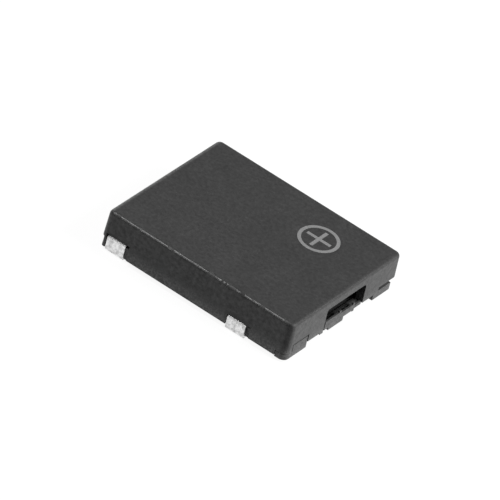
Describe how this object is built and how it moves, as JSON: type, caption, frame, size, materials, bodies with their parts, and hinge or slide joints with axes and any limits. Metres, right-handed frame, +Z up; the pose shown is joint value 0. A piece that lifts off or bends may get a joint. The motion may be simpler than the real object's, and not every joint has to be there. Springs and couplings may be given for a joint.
{
  "type": "smd magnetic buzzer",
  "caption": "Thin rectangular surface-mount magnetic sound transducer with a side sound port, a round diaphragm motor and folded solder terminals.",
  "frame": {"origin": "centre of the footprint, on the plane of the circuit board that the terminals are soldered to", "axes": "+X along the length towards the sound port, +Y across the width, +Z up from the board"},
  "size_m": [0.011, 0.009, 0.0022],
  "materials": {
    "cover_plastic": "fine-grained moulded high-temperature plastic, charcoal",
    "base_plastic": "moulded high-temperature plastic, charcoal",
    "yoke_iron": "plated soft iron",
    "copper_wire": "enamelled copper winding",
    "magnet_sinter": "sintered magnet, dark grey",
    "diaphragm_steel": "thin rolled magnetic alloy",
    "tinned_strip": "matte tin plate on copper alloy",
    "solder": "solder",
    "marking_ink": "light grey marking ink, matte"
  },
  "bodies": {
    "root": {"cover": "cover_plastic", "base": "base_plastic", "yoke_plate": "yoke_iron", "pole_core": "yoke_iron", "coil": "copper_wire", "magnet": "magnet_sinter", "diaphragm": "diaphragm_steel", "armature": "diaphragm_steel", "terminal_positive": "tinned_strip", "terminal_negative": "tinned_strip", "terminal_dummy_front": "tinned_strip", "terminal_dummy_rear": "tinned_strip", "solder_positive": "solder", "solder_negative": "solder"}
  },
  "joints": []
}
